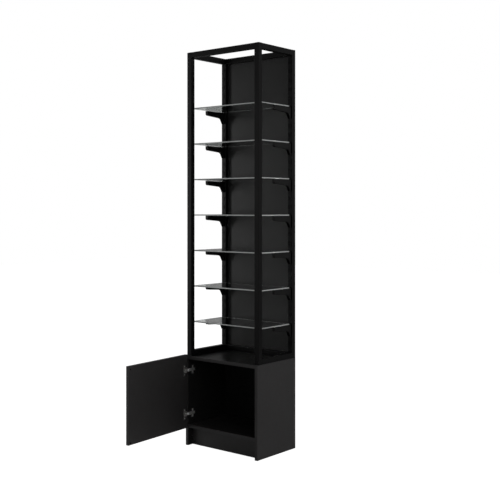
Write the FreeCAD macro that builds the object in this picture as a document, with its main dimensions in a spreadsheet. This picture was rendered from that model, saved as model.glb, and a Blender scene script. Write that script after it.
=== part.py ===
import FreeCAD, Part
import os
import re
import Sketcher
from FreeCAD import Placement, Rotation, Vector

# A tall open display tower on a small cabinet. A welded frame of square steel tube stands on a
# board cabinet and carries a dark back panel and seven glass shelves. Each shelf lies on two
# folded steel brackets that hook into the slotted back posts. One door closes the cabinet.
#
# Frame of the part: millimetres, X to the right, Y to the back, Z up. The origin is the middle
# of the underside of the plinth board, which stands on the floor.

doc = FreeCAD.newDocument("Showcase")

# ---------------------------------------------------------------- driving dimensions
sizes = {
    # whole object
    "total_height": 2200,
    "cabinet_width": 500,
    "cabinet_depth": 350,
    "cabinet_height": 500,
    # cabinet boards
    "board": 18,
    "plinth_height": 100,
    "plinth_recess": 40,
    "cabinet_back_thick": 8,
    "groove_inset": 10,
    "groove_depth": 6,
    "groove_play": 0.1,
    # door, standing open as it is shown
    "door_side_gap": 2,
    "door_front_gap": 2.5,
    "door_lip": 8,
    "door_drop": 2,
    "door_angle": 86.7,
    # steel frame
    "tube_side": 30,
    "tube_wall": 1.5,
    "tube_round": 2,
    "frame_setback": 12,
    "back_panel_thick": 8,
    "back_panel_setback": 20,
    "panel_play": 0.5,
    # slots in the back posts
    "slot_pitch": 50,
    "slot_tall": 22,
    "slot_wide": 3.6,
    "slot_row_gap": 14,
    "slot_start": 42,
    "slot_end_margin": 20,
    # brackets and shelves
    "slots_below_shelf": 2,
    "slots_per_shelf": 4,
    "shelf_count": 7,
    "bracket_reach": 156,
    "bracket_sheet": 2,
    "bracket_nose": 24,
    "bracket_root": 33,
    "fold_round": 2.4,
    "bracket_leg": 64,
    "gusset_reach": 28,
    "foot_reach": 10,
    "nose_round": 11,
    "gusset_round": 24,
    "foot_round": 5,
    "hook_neck": 10,
    "hook_drop": 6,
    "hook_thick": 2.5,
    "hook_play": 0.2,
    "glass_thick": 6,
    "glass_end_gap": 10,
    "glass_front_gap": 4,
    "glass_back_gap": 16,
    "glass_chamfer": 0.6,
    "pad_radius": 5,
    "pad_thick": 1.5,
    "pad_inset": 16,
    # cup hinges
    "pivot_from_edge": 6.8,
    "pivot_from_front": 11,
    "hinge_inset": 60,
    "cup_radius": 17.5,
    "cup_deep": 12,
    "cup_wall": 0.8,
    "cup_edge_gap": 3,
    "flange_thick": 1.2,
    "flange_rim": 1,
    "wing_reach": 31,
    "wing_wide": 16,
    "cup_screw_gap": 45,
    "knuckle_radius": 2.2,
    "knuckle_half": 4.2,
    "ear_thick": 2,
    "pin_radius": 1.2,
    "pin_play": 0.05,
    "arm_sheet": 2.2,
    "foot_sheet": 1.7,
    "arm_offset": 11.3,
    "arm_half": 7,
    "arm_cheek": 1.4,
    "cheek_gap": 0.4,
    "arm_length": 52,
    "plate_setback": 37,
    "plate_wing_half": 23,
    "plate_wing_deep": 13,
    "plate_screw_gap": 32,
    # fasteners and fittings
    "screw_play": 0.05,
    "small_shank": 1.75,
    "small_head": 3.5,
    "small_head_tall": 1.8,
    "cup_screw_long": 13,
    "plate_screw_shank": 2.5,
    "plate_screw_long": 12,
    "frame_bolt_shank": 2.5,
    "frame_bolt_head": 4.5,
    "frame_bolt_head_tall": 3,
    "frame_bolt_inset": 5,
    "frame_bolt_end": 80,
    "back_bolt_inset": 7,
    "frame_bolt_reach": 9,
    "frame_bolt_side": 100,
    "nut_radius": 4.5,
    "nut_tall": 7,
    "cam_radius": 7.5,
    "cam_tall": 12.5,
    "cam_setback": 24,
    "cam_bolt_radius": 3,
    "cam_bolt_bite": 11,
    "cam_end": 40,
    "dowel_radius": 4,
    "dowel_long": 30,
    "dowel_from_cam": 32,
    "fit_play": 0.1,
    "tab_side": 24,
    "tab_thick": 2,
    "tab_end": 120,
    "panel_screw_bite": 6,
    "bumper_radius": 4,
    "bumper_thick": 2.2,
    "bumper_inset": 14,
    # holes for fixing to a wall
    "wall_hole_radius": 3.5,
    "wall_hole_side": 70,
    "cap_thick": 2,
}

# ---------------------------------------------------------------- places worked out from them
places = {
    "half_width": "cabinet_width / 2",
    "front_y": "-(board / 2 + plinth_recess)",
    "back_y": "front_y + cabinet_depth",
    "inner_half": "half_width - board",
    "cabinet_floor": "plinth_height + board",
    "cabinet_ceiling": "cabinet_height - board",
    "cabinet_back_y": "back_y - groove_inset - cabinet_back_thick",
    "frame_front": "front_y + frame_setback",
    "rail_depth": "back_y - frame_front - 2 * tube_side",
    "rail_width": "cabinet_width - 2 * tube_side",
    "post_height": "total_height - cabinet_height",
    "post_x": "half_width - tube_side / 2",
    "front_post_y": "frame_front + tube_side / 2",
    "back_post_y": "back_y - tube_side / 2",
    "slot_face": "back_y - tube_side",
    "rail_top": "cabinet_height + tube_side",
    "panel_y": "slot_face + back_panel_setback",
    "panel_height": "post_height - 2 * tube_side - 2 * panel_play",
    "first_slot": "rail_top + slot_start",
    "slot_count": "floor((total_height - tube_side - slot_end_margin - first_slot - slot_tall)"
                  " / slot_pitch) + 1",
    "shelf_pitch": "slots_per_shelf * slot_pitch",
    "hook_rise": "bracket_sheet + hook_neck",
    "first_bracket_top": "first_slot + slots_below_shelf * slot_pitch + hook_rise",
    "bracket_wide": "slot_row_gap + bracket_sheet",
    "glass_wide": "cabinet_width - 2 * glass_end_gap",
    "glass_front": "frame_front + tube_side + glass_front_gap",
    "glass_depth": "slot_face - glass_back_gap - glass_front",
    "door_left": "-half_width + door_side_gap",
    "door_wide": "cabinet_width - 2 * door_side_gap",
    "door_inner_y": "front_y - door_front_gap",
    "door_low": "plinth_height - door_drop",
    "door_tall": "cabinet_height + door_lip - door_low",
    "pivot_x": "door_left + pivot_from_edge",
    "pivot_y": "front_y - pivot_from_front",
    "cup_x": "door_left + cup_edge_gap + cup_radius",
    "cup_bottom_y": "door_inner_y - cup_deep",
    "arm_x": "pivot_x + arm_offset",
    "plate_y": "front_y + plate_setback",
    "cup_screw_x": "cup_x + wing_wide / 2",
    "frame_bolt_x": "inner_half - frame_bolt_inset",
    "back_bolt_y": "slot_face + back_bolt_inset",
    "frame_bolt_spread": "cabinet_width - 2 * frame_bolt_side",
    "wall_hole_spread": "cabinet_width - 2 * wall_hole_side",
}


def prefixed(formula):
    """Turn a formula of plain names into an expression on the sheet and the worked-out places."""
    def with_owner(word):
        name = word.group(0)
        if name in sizes:
            return "Sizes." + name
        if name in places:
            return "Places." + name
        return name
    return re.sub(r"[a-z]\w*", with_owner, formula)


sheet = doc.addObject("Spreadsheet::Sheet", "Sizes")
for row, (name, value) in enumerate(sizes.items(), start=1):
    sheet.set("A%d" % row, name)
    sheet.set("B%d" % row, str(value))
    sheet.setAlias("B%d" % row, name)
doc.recompute()

worked_out = doc.addObject("App::VarSet", "Places")
for name, formula in places.items():
    worked_out.addProperty("App::PropertyFloat", name, "Places")
    worked_out.setExpression(name, prefixed(formula))
    doc.recompute()


def number(formula):
    """The present value of a formula."""
    return float(worked_out.evalExpression(prefixed(formula)))


# ---------------------------------------------------------------- tools for making pieces
subparts = []                     # the objects that are written out, one per file
directions = {                    # turns a cylinder's own Z onto the named direction
    "+x": Rotation(Vector(0, 1, 0), 90),
    "-x": Rotation(Vector(0, 1, 0), -90),
    "+y": Rotation(Vector(1, 0, 0), -90),
    "-y": Rotation(Vector(1, 0, 0), 90),
    "+z": Rotation(),
    "-z": Rotation(Vector(1, 0, 0), 180),
}


def bind(item, property_name, formula):
    item.setExpression(property_name, prefixed(formula))


def put(item, corner):
    for axis, formula in zip("xyz", corner):
        bind(item, "Placement.Base." + axis, formula)


def block(label, size, corner):
    """A rectangular block from its three sizes and its lowest corner."""
    item = doc.addObject("Part::Box", label)
    for side, formula in zip(("Length", "Width", "Height"), size):
        bind(item, side, formula)
    put(item, corner)
    return item


def rod(label, radius, length, start, direction):
    """A round rod from the middle of one end, along a named direction."""
    item = doc.addObject("Part::Cylinder", label)
    item.Placement = Placement(Vector(), directions[direction])
    bind(item, "Radius", radius)
    bind(item, "Height", length)
    put(item, start)
    return item


def fuse(label, items):
    item = doc.addObject("Part::MultiFuse", label)
    item.Shapes = items
    return item


def cut(label, base, tools):
    item = doc.addObject("Part::Cut", label)
    item.Base = base
    item.Tool = tools[0] if len(tools) == 1 else fuse(label + "_cutters", tools)
    return item


def group(label, items):
    """Separate solids that share one file, such as identical screws."""
    item = doc.addObject("Part::Compound", label)
    item.Links = items
    return item


def keep(item):
    subparts.append(item)
    return item


def screw(label, head, shank, under_head, direction):
    """A screw: head and shank are (radius, length), and the shank runs along direction."""
    against = {"+": "-", "-": "+"}[direction[0]] + direction[1]
    return fuse(label, [rod(label + "_head", head[0], head[1], under_head, against),
                        rod(label + "_shank", shank[0], shank[1], under_head, direction)])


def start_body(label):
    return doc.addObject("PartDesign::Body", label)


def origin_part(body, role):
    return next(part for part in body.Origin.OriginFeatures if part.Role == role)


def outline(body, name, role, corners):
    """A closed sketch through corners, each held by two formulas, on a plane of the body."""
    sketch = body.newObject("Sketcher::SketchObject", name)
    sketch.AttachmentSupport = [(origin_part(body, role), "")]
    sketch.MapMode = "FlatFace"
    add_loop(sketch, corners)
    return sketch


def add_loop(sketch, corners):
    first = sketch.GeometryCount
    points = [Vector(number(across), number(up), 0) for across, up in corners]
    for start, end in zip(points, points[1:] + points[:1]):
        sketch.addGeometry(Part.LineSegment(start, end), False)
    for index in range(len(corners)):
        following = first + (index + 1) % len(corners)
        sketch.addConstraint(Sketcher.Constraint("Coincident", first + index, 2, following, 1))
    for index, (across, up) in enumerate(corners):
        for kind, formula in (("DistanceX", across), ("DistanceY", up)):
            held = sketch.addConstraint(
                Sketcher.Constraint(kind, -1, 1, first + index, 1, number(formula)))
            sketch.setExpression("Constraints[%d]" % held, prefixed(formula))


def rectangle(low, high):
    return [(low[0], low[1]), (high[0], low[1]), (high[0], high[1]), (low[0], high[1])]


def pad(body, sketch, length, both_ways=False):
    item = body.newObject("PartDesign::Pad", "Pad")
    item.Profile = sketch
    item.Midplane = both_ways
    bind(item, "Length", length)
    sketch.Visibility = False
    doc.recompute()
    return item


def pocket(body, sketch, length, both_ways=False, reverse=False):
    before = body.Shape.Volume
    item = body.newObject("PartDesign::Pocket", "Pocket")
    item.Profile = sketch
    item.Midplane = both_ways
    item.Reversed = reverse
    bind(item, "Length", length)
    sketch.Visibility = False
    doc.recompute()
    if body.Shape.Volume > before - 0.001:
        raise RuntimeError("the pocket in %s cuts nothing" % body.Label)
    return item


def round_edges(body, radius, chosen):
    """Fillet the edges of the body that chosen(edge) picks."""
    base = body.Tip
    names = ["Edge%d" % (i + 1) for i, edge in enumerate(base.Shape.Edges) if chosen(edge)]
    item = body.newObject("PartDesign::Fillet", "Fillet")
    item.Base = (base, names)
    bind(item, "Radius", radius)
    doc.recompute()
    return item


def place_body(body, position, rotation=None):
    if rotation is not None:
        body.Placement = Placement(Vector(), rotation)
    put(body, position)
    return keep(body)


# ---------------------------------------------------------------- square tube
def tube(label, length, position, direction="+z"):
    """A length of square tube with rounded corners, from the middle of its first end."""
    body = start_body(label)
    half = "tube_side / 2"
    bore = "(tube_side / 2 - tube_wall)"
    section = outline(body, "Section", "XY_Plane",
                      rectangle(("-" + half, "-" + half), (half, half)))
    add_loop(section, rectangle(("-" + bore, "-" + bore), (bore, bore)))
    pad(body, section, length)
    corner = number(half)

    def outer_corner(edge):
        middle = edge.CenterOfMass
        on_x = abs(abs(middle.x) - corner) < 0.01
        on_y = abs(abs(middle.y) - corner) < 0.01
        return on_x and on_y

    round_edges(body, "tube_round", outer_corner)
    place_body(body, position, directions[direction])
    return body


def slot_post(label, x_side):
    """A back post: two rows of slots in its front face, one pitch apart all the way up."""
    body = tube(label, "post_height", (x_side + "post_x", "back_post_y", "cabinet_height"))
    low = "first_slot - cabinet_height"
    high = low + " + slot_tall"
    slots = None
    for row in ("-", ""):
        middle = row + "slot_row_gap / 2"
        loop = rectangle((middle + " - slot_wide / 2", low), (middle + " + slot_wide / 2", high))
        if slots is None:
            slots = outline(body, "Slots", "XZ_Plane", loop)
        else:
            add_loop(slots, loop)
    cut_out = pocket(body, slots, "tube_side", reverse=True)
    rows = body.newObject("PartDesign::LinearPattern", "SlotRows")
    rows.Originals = [cut_out]
    rows.Direction = (origin_part(body, "Z_Axis"), [""])
    bind(rows, "Length", "(slot_count - 1) * slot_pitch")
    bind(rows, "Occurrences", "slot_count")
    body.Tip = rows
    doc.recompute()
    return body


def steel_frame():
    for side, x_side in (("left", "-"), ("right", "")):
        x_post = x_side + "post_x"
        tube("front_%s_post" % side, "post_height", (x_post, "front_post_y", "cabinet_height"))
        slot_post("back_%s_post" % side, x_side)
        for level, height in (("top", "total_height - tube_side / 2"),
                              ("bottom", "cabinet_height + tube_side / 2")):
            rail = tube("%s_%s_rail" % (level, side), "rail_depth",
                        (x_post, "frame_front + tube_side", height), "+y")
            if level == "bottom":
                drill_rail(rail, side, x_side)
    tube("top_front_rail", "rail_width",
         ("-rail_width / 2", "front_post_y", "total_height - tube_side / 2"), "+x")
    back_rail("top_back_rail", "total_height - tube_side / 2")
    back_rail("bottom_back_rail", "cabinet_height + tube_side / 2")
    post_caps()


def replace_kept(body, drilled):
    """The drilled piece takes the place, and the name, of the plain tube."""
    name = body.Label
    subparts.remove(body)
    body.Label = name + "_plain"
    drilled.Label = name
    keep(drilled)


def drill_rail(rail, side, x_side):
    holes = [rod("bolt_hole", "nut_radius + screw_play", "tube_wall * 3",
                 (x_side + "frame_bolt_x", y_bolt, "cabinet_height - tube_wall"), "+z")
             for y_bolt in frame_bolt_rows]
    replace_kept(rail, cut(side + "_rail_drilled", rail, holes))


def back_rail(label, height):
    """A back rail: the top one has the wall holes, the bottom one the bolts to the cabinet."""
    rail = tube(label, "rail_width", ("-rail_width / 2", "back_post_y", height), "+x")
    holes = []
    for x_side in ("-", ""):
        if label.startswith("top"):
            start = (x_side + "wall_hole_spread / 2", "back_y + tube_side", height)
            holes.append(rod("wall_hole", "wall_hole_radius", "tube_side * 3", start, "-y"))
        else:
            start = (x_side + "frame_bolt_spread / 2", "back_bolt_y",
                     "cabinet_height - tube_wall")
            holes.append(rod("bolt_hole", "nut_radius + screw_play", "tube_wall * 3", start, "+z"))
    replace_kept(rail, cut(label + "_drilled", rail, holes))


def post_caps():
    """Square inserts that close the open tops of the four posts."""
    side = "tube_side - 2 * tube_wall"
    caps = []
    for x_side in ("-", ""):
        for y_post in ("front_post_y", "back_post_y"):
            caps.append(block("cap", (side, side, "cap_thick"),
                              (x_side + "post_x - (" + side + ") / 2", y_post + " - (" + side + ") / 2",
                               "total_height - cap_thick")))
    keep(group("post_caps", caps))


# ---------------------------------------------------------------- back panel of the display
def display_back():
    """The dark panel behind the shelves, held by three tabs on each back post."""
    tabs = []
    screws = []
    pilots = []
    for x_corner in ("-rail_width / 2", "rail_width / 2 - tab_side"):
        for height in ("rail_top + tab_end", "(rail_top + total_height - tube_side) / 2",
                       "total_height - tube_side - tab_end"):
            tab = block("tab", ("tab_side", "tab_thick", "tab_side"),
                        (x_corner, "panel_y + back_panel_thick", height + " - tab_side / 2"))
            middle = (x_corner + " + tab_side / 2", "panel_y + back_panel_thick + tab_thick", height)
            hole = rod("tab_hole", "small_shank + screw_play", "2 * tab_thick", middle, "-y")
            pilots.append(rod("pilot", "small_shank + screw_play", "tab_thick + panel_screw_bite",
                              middle, "-y"))
            tabs.append(cut("panel_tab", tab, [hole]))
            screws.append(screw("panel_screw", ("small_head", "small_head_tall"),
                                ("small_shank", "tab_thick + panel_screw_bite"), middle, "-y"))
    panel = block("panel_board",
                  ("rail_width - 2 * panel_play", "back_panel_thick", "panel_height"),
                  ("-rail_width / 2 + panel_play", "panel_y", "rail_top + panel_play"))
    keep(cut("back_panel", panel, pilots))
    keep(group("panel_tabs", tabs))
    keep(group("panel_screws", screws))


# ---------------------------------------------------------------- brackets and glass
def bracket(label, x_side, top):
    """A bracket folded from sheet: a web under the glass, two cheeks, and hooks at the back.

    Its sketch is drawn with the face of the post at zero and the top of the web at zero.
    """
    body = start_body(label)
    back = "tube_wall + hook_play"
    tail = "tube_wall + hook_play + hook_thick"
    lower = "slot_pitch + hook_rise"
    profile = outline(body, "Cheek", "YZ_Plane", [
        ("0", "0"),
        ("-bracket_reach", "0"),
        ("-bracket_reach", "-bracket_nose"),
        ("-gusset_reach", "-bracket_root"),
        ("-foot_reach", "-bracket_leg"),
        ("0", "-bracket_leg"),
        ("0", "-(" + lower + ")"),
        (back, "-(" + lower + ")"),
        (back, "-(" + lower + " + hook_drop)"),
        (tail, "-(" + lower + " + hook_drop)"),
        (tail, "-(" + lower + " - hook_neck)"),
        ("0", "-(" + lower + " - hook_neck)"),
        ("0", "-hook_rise"),
        (back, "-hook_rise"),
        (back, "-(hook_rise + hook_drop)"),
        (tail, "-(hook_rise + hook_drop)"),
        (tail, "-bracket_sheet"),
        ("0", "-bracket_sheet"),
    ])
    pad(body, profile, "bracket_wide", both_ways=True)

    def at(across, up):
        def chosen(edge):
            middle = edge.CenterOfMass
            level = abs(middle.z - number(up)) < 0.01
            return level and abs(middle.y - number(across)) < 0.01 and abs(middle.x) < 0.01
        return chosen

    round_edges(body, "nose_round", at("-bracket_reach", "-bracket_nose"))
    round_edges(body, "gusset_round", at("-gusset_reach", "-bracket_root"))
    round_edges(body, "foot_round", at("-foot_reach", "-bracket_leg"))
    hollow = outline(body, "Hollow", "YZ_Plane",
                     rectangle(("-(bracket_reach - bracket_sheet)", "-2 * bracket_leg"),
                               ("tube_side", "-bracket_sheet")))
    pocket(body, hollow, "bracket_wide - 2 * bracket_sheet", both_ways=True)

    def fold(edge):
        middle = edge.CenterOfMass
        beside = abs(abs(middle.x) - number("bracket_wide / 2")) < 0.01
        return beside and abs(middle.z) < 0.01 and edge.Length > number("bracket_reach / 2")

    round_edges(body, "fold_round", fold)
    return place_body(body, (x_side + "post_x", "slot_face", top))


def glass_shelf(label, top):
    body = start_body(label)
    half = "glass_wide / 2"
    plan = outline(body, "Plan", "XY_Plane", rectangle(("-" + half, "0"), (half, "glass_depth")))
    plate = pad(body, plan, "glass_thick")
    bevel = body.newObject("PartDesign::Chamfer", "Chamfer")
    bevel.Base = (plate, ["Face%d" % (i + 1) for i, face in enumerate(plate.Shape.Faces)
                          if abs(face.normalAt(0, 0).z) > 0.9])
    bind(bevel, "Size", "glass_chamfer")
    doc.recompute()
    return place_body(body, ("0", "glass_front", top + " + pad_thick"))


def shelves():
    pads = []
    for count in range(sizes["shelf_count"]):
        top = "first_bracket_top + %d * shelf_pitch" % count
        bracket("bracket_left_%d" % (count + 1), "-", top)
        bracket("bracket_right_%d" % (count + 1), "", top)
        glass_shelf("glass_shelf_%d" % (count + 1), top)
        for x_pad in ("-post_x", "post_x"):
            for y_pad in ("slot_face - bracket_reach + pad_inset",
                          "slot_face - glass_back_gap - pad_inset"):
                pads.append(rod("pad", "pad_radius", "pad_thick", (x_pad, y_pad, top), "+z"))
    keep(group("shelf_pads", pads))


# ---------------------------------------------------------------- cabinet
def cam_rows():
    return ("front_y + cam_end", "cabinet_back_y - cam_end")


def dowel_rows():
    return ("front_y + cam_end + dowel_from_cam", "cabinet_back_y - cam_end - dowel_from_cam")


def edge_fittings():
    """Cams, their bolts and dowels, which pull the top and bottom boards to the side boards."""
    cams = []
    bolts = []
    dowels = []
    for x_side, outward in (("-", "-x"), ("", "+x")):
        for level in ("plinth_height", "cabinet_ceiling"):
            middle = level + " + board / 2"
            for y_row in cam_rows():
                cams.append(rod("cam", "cam_radius", "cam_tall",
                                (x_side + "(inner_half - cam_setback)", y_row, level), "+z"))
                bolts.append(rod("cam_bolt", "cam_bolt_radius",
                                 "cam_setback - cam_radius + cam_bolt_bite",
                                 (x_side + "(inner_half - cam_setback + cam_radius)", y_row, middle),
                                 outward))
            for y_row in dowel_rows():
                dowels.append(rod("dowel", "dowel_radius", "dowel_long",
                                  (x_side + "(inner_half - dowel_long / 2)", y_row, middle),
                                  outward))
        for height in ("plinth_height / 4", "plinth_height * 3 / 4"):
            dowels.append(rod("dowel", "dowel_radius", "dowel_long",
                              (x_side + "(inner_half - dowel_long / 2)", "0", height), outward))
    keep(group("cam_locks", cams))
    keep(group("cam_bolts", bolts))
    keep(group("dowels", dowels))


def fitting_holes(x_side, levels):
    """Holes for the fittings above, a little wider than they are."""
    outward = {"-": "-x", "": "+x"}[x_side]
    holes = []
    for level in levels:
        middle = level + " + board / 2"
        for y_row in cam_rows():
            holes.append(rod("cam_hole", "cam_radius + fit_play", "cam_tall + fit_play",
                             (x_side + "(inner_half - cam_setback)", y_row, level), "+z"))
            holes.append(rod("bolt_hole", "cam_bolt_radius + fit_play",
                             "cam_setback + cam_bolt_bite + fit_play",
                             (x_side + "(inner_half - cam_setback)", y_row, middle), outward))
        for y_row in dowel_rows():
            holes.append(rod("dowel_hole", "dowel_radius + fit_play", "dowel_long + 2 * fit_play",
                             (x_side + "(inner_half - dowel_long / 2 - fit_play)", y_row, middle),
                             outward))
    return holes


def plinth_dowel_holes(x_side):
    outward = {"-": "-x", "": "+x"}[x_side]
    return [rod("dowel_hole", "dowel_radius + fit_play", "dowel_long + 2 * fit_play",
                (x_side + "(inner_half - dowel_long / 2 - fit_play)", "0", height), outward)
            for height in ("plinth_height / 4", "plinth_height * 3 / 4")]


def cabinet():
    levels = ("plinth_height", "cabinet_ceiling")
    for side, x_side, corner in (("left", "-", "-half_width"), ("right", "", "inner_half")):
        board = block(side + "_board", ("board", "cabinet_depth", "cabinet_height"),
                      (corner, "front_y", "0"))
        groove_corner = {"-": "-inner_half - groove_depth - groove_play", "": "inner_half"}[x_side]
        groove = block("groove", ("groove_depth + groove_play", "cabinet_back_thick + 2 * groove_play",
                                  "cabinet_ceiling"),
                       (groove_corner, "cabinet_back_y - groove_play", "0"))
        holes = [groove] + fitting_holes(x_side, levels) + plinth_dowel_holes(x_side)
        if x_side == "-":
            holes += plate_screw_holes()
        keep(cut(side + "_side", board, holes))
    top = block("top_board", ("2 * inner_half", "cabinet_depth", "board"),
                ("-inner_half", "front_y", "cabinet_ceiling"))
    bolt_holes = [rod("bolt_hole", "frame_bolt_shank + screw_play", "2 * board",
                      (x_bolt, y_bolt, "cabinet_ceiling - board / 2"), "+z")
                  for x_bolt, y_bolt in frame_bolt_points()]
    keep(cut("cabinet_top", top, fitting_holes("-", levels[1:]) + fitting_holes("", levels[1:])
             + bolt_holes))
    floor_board = block("floor_board", ("2 * inner_half", "cabinet_back_y - front_y", "board"),
                        ("-inner_half", "front_y", "plinth_height"))
    keep(cut("cabinet_bottom", floor_board,
             fitting_holes("-", levels[:1]) + fitting_holes("", levels[:1])))
    plinth_board = block("plinth_board", ("2 * inner_half", "board", "plinth_height"),
                         ("-inner_half", "-board / 2", "0"))
    keep(cut("plinth", plinth_board, plinth_dowel_holes("-") + plinth_dowel_holes("")))
    keep(block("cabinet_back", ("2 * (inner_half + groove_depth)", "cabinet_back_thick",
                                "cabinet_ceiling"),
               ("-inner_half - groove_depth", "cabinet_back_y", "0")))
    edge_fittings()


# ---------------------------------------------------------------- bolts from cabinet to frame
frame_bolt_rows = ("frame_front + tube_side + frame_bolt_end", "slot_face - frame_bolt_end")


def frame_bolt_points():
    points = [(x_side + "frame_bolt_x", y_bolt) for x_side in ("-", "") for y_bolt in frame_bolt_rows]
    return points + [(x_side + "frame_bolt_spread / 2", "back_bolt_y") for x_side in ("-", "")]


def frame_bolts():
    bolts = []
    nuts = []
    for x_bolt, y_bolt in frame_bolt_points():
        bolts.append(screw("frame_bolt", ("frame_bolt_head", "frame_bolt_head_tall"),
                           ("frame_bolt_shank", "board + frame_bolt_reach"),
                           (x_bolt, y_bolt, "cabinet_ceiling"), "+z"))
        nut = rod("nut", "nut_radius", "nut_tall", (x_bolt, y_bolt, "cabinet_height"), "+z")
        bore = rod("nut_bore", "frame_bolt_shank + screw_play", "nut_tall * 2",
                   (x_bolt, y_bolt, "cabinet_height - nut_tall / 2"), "+z")
        nuts.append(cut("rivet_nut", nut, [bore]))
    keep(group("frame_bolts", bolts))
    keep(group("rivet_nuts", nuts))


# ---------------------------------------------------------------- hinges
def hinge_levels():
    return (("lower", "cabinet_floor + hinge_inset"), ("upper", "cabinet_ceiling - hinge_inset"))


def plate_screw_holes():
    return [rod("plate_screw_hole", "plate_screw_shank + screw_play", "plate_screw_long",
                ("-inner_half", "plate_y", level + sign + " plate_screw_gap / 2"), "-x")
            for _, level in hinge_levels() for sign in (" -", " +")]


def hinge_on_cabinet(name, level):
    """The plate on the side board, and the arm that reaches round its edge to the pivot."""
    plate_thick = "arm_x + inner_half"
    wings = block("wings", (plate_thick, "plate_wing_deep", "2 * plate_wing_half"),
                  ("-inner_half", "plate_y - plate_wing_deep / 2", level + " - plate_wing_half"))
    spine = block("spine", (plate_thick, "arm_length - pivot_from_front", "2 * arm_half"),
                  ("-inner_half", "front_y + pivot_from_front", level + " - arm_half"))
    holes = [rod("plate_hole", "plate_screw_shank + screw_play", "4 * arm_sheet",
                 ("-inner_half - arm_sheet", "plate_y", level + sign + " plate_screw_gap / 2"), "+x")
             for sign in (" -", " +")]
    keep(cut("hinge_plate_" + name, fuse("plate_blank", [wings, spine]), holes))

    knuckle = rod("knuckle", "knuckle_radius", "2 * knuckle_half",
                  ("pivot_x", "pivot_y", level + " - knuckle_half"), "+z")
    foot = block("foot", ("arm_offset + arm_sheet", "foot_sheet", "2 * knuckle_half"),
                 ("pivot_x", "pivot_y - knuckle_radius", level + " - knuckle_half"))
    neck = block("neck", ("arm_sheet", "knuckle_radius + pivot_from_front + pivot_from_front",
                          "2 * knuckle_half"),
                 ("arm_x", "pivot_y - knuckle_radius", level + " - knuckle_half"))
    shank = block("shank", ("arm_sheet", "arm_length - pivot_from_front / 2", "2 * arm_half"),
                  ("arm_x", "front_y + pivot_from_front / 2", level + " - arm_half"))
    cheeks = [block("cheek", (plate_thick + " + arm_sheet - cheek_gap",
                              "plate_setback - plate_wing_deep / 2 - pivot_from_front / 2 - cheek_gap",
                              "arm_cheek"),
                    ("-inner_half + cheek_gap", "front_y + pivot_from_front / 2", low))
              for low in (level + " + arm_half", level + " - arm_half - arm_cheek")]
    bore = rod("pin_bore", "pin_radius + pin_play", "4 * knuckle_half",
               ("pivot_x", "pivot_y", level + " - 2 * knuckle_half"), "+z")
    arm = fuse("arm_blank", [knuckle, foot, neck, shank] + cheeks)
    keep(cut("hinge_arm_" + name, arm, [bore]))


def hinge_on_door(name, level):
    """The cup with its flange, and two ears in it that hold the pin."""
    shell = rod("shell", "cup_radius", "cup_deep", ("cup_x", "cup_bottom_y", level), "+y")
    rim = rod("rim", "cup_radius + flange_rim", "flange_thick", ("cup_x", "door_inner_y", level), "+y")
    wing = block("wing", ("wing_wide", "flange_thick", "2 * wing_reach"),
                 ("cup_x", "door_inner_y", level + " - wing_reach"))
    hollow = rod("hollow", "cup_radius - cup_wall", "cup_deep * 2",
                 ("cup_x", "cup_bottom_y + cup_wall", level), "+y")
    screw_holes = [rod("cup_screw_hole", "small_shank + screw_play", "4 * flange_thick",
                       ("cup_screw_x", "door_inner_y - flange_thick",
                        level + sign + " cup_screw_gap / 2"), "+y") for sign in (" -", " +")]
    cup = cut("cup_shell", fuse("cup_blank", [shell, rim, wing]), [hollow] + screw_holes)
    ears = []
    for low in (level + " + knuckle_half + fit_play", level + " - knuckle_half - fit_play - ear_thick"):
        ear = block("ear", ("2 * knuckle_radius", "pivot_y + knuckle_radius - cup_bottom_y", "ear_thick"),
                    ("pivot_x - knuckle_radius", "cup_bottom_y", low))
        ears.append(ear)
    solid_cup = rod("cup_space", "cup_radius", "cup_deep", ("cup_x", "cup_bottom_y", level), "+y")
    inside = doc.addObject("Part::Common", "ears_in_cup")
    inside.Base = fuse("ears", ears)
    inside.Tool = solid_cup
    pin_hole = rod("ear_hole", "pin_radius + pin_play", "4 * knuckle_half",
                   ("pivot_x", "pivot_y", level + " - 2 * knuckle_half"), "+z")
    return cut("hinge_cup_" + name, fuse("cup_with_ears", [cup, inside]), [pin_hole])


def door():
    """The door and what rides on it, made closed and then swung open about the pins."""
    panel = block("door_board", ("door_wide", "board", "door_tall"),
                  ("door_left", "door_inner_y - board", "door_low"))
    holes = []
    pins = []
    screws = []
    riders = []
    for name, level in hinge_levels():
        holes.append(rod("cup_bore", "cup_radius + fit_play", "cup_deep + fit_play",
                         ("cup_x", "door_inner_y", level), "-y"))
        pin_half = "(knuckle_half + fit_play + ear_thick)"
        pins.append(rod("pin", "pin_radius", "2 * " + pin_half,
                        ("pivot_x", "pivot_y", level + " - " + pin_half), "+z"))
        for sign in (" -", " +"):
            height = level + sign + " cup_screw_gap / 2"
            holes.append(rod("pilot", "small_shank + screw_play", "cup_screw_long",
                             ("cup_screw_x", "door_inner_y", height), "-y"))
            screws.append(screw("cup_screw", ("small_head", "small_head_tall"),
                                ("small_shank", "cup_screw_long"),
                                ("cup_screw_x", "door_inner_y + flange_thick", height), "-y"))
        riders.append(hinge_on_door(name, level))
    riders.append(cut("door_panel", panel, holes))
    riders.append(group("hinge_pins", pins))
    riders.append(group("cup_screws", screws))
    bumpers = [rod("bumper", "bumper_radius", "bumper_thick",
                   ("door_left + door_wide - bumper_inset", "door_inner_y", height), "+y")
               for height in ("plinth_height + board / 2", "cabinet_ceiling + board / 2")]
    riders.append(group("door_bumpers", bumpers))
    pivot = Vector(number("pivot_x"), number("pivot_y"), 0)
    swung = Placement(Vector(), Rotation(Vector(0, 0, 1), -number("door_angle")), pivot)
    for item in riders:
        item.Placement = swung
        keep(item)


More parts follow.
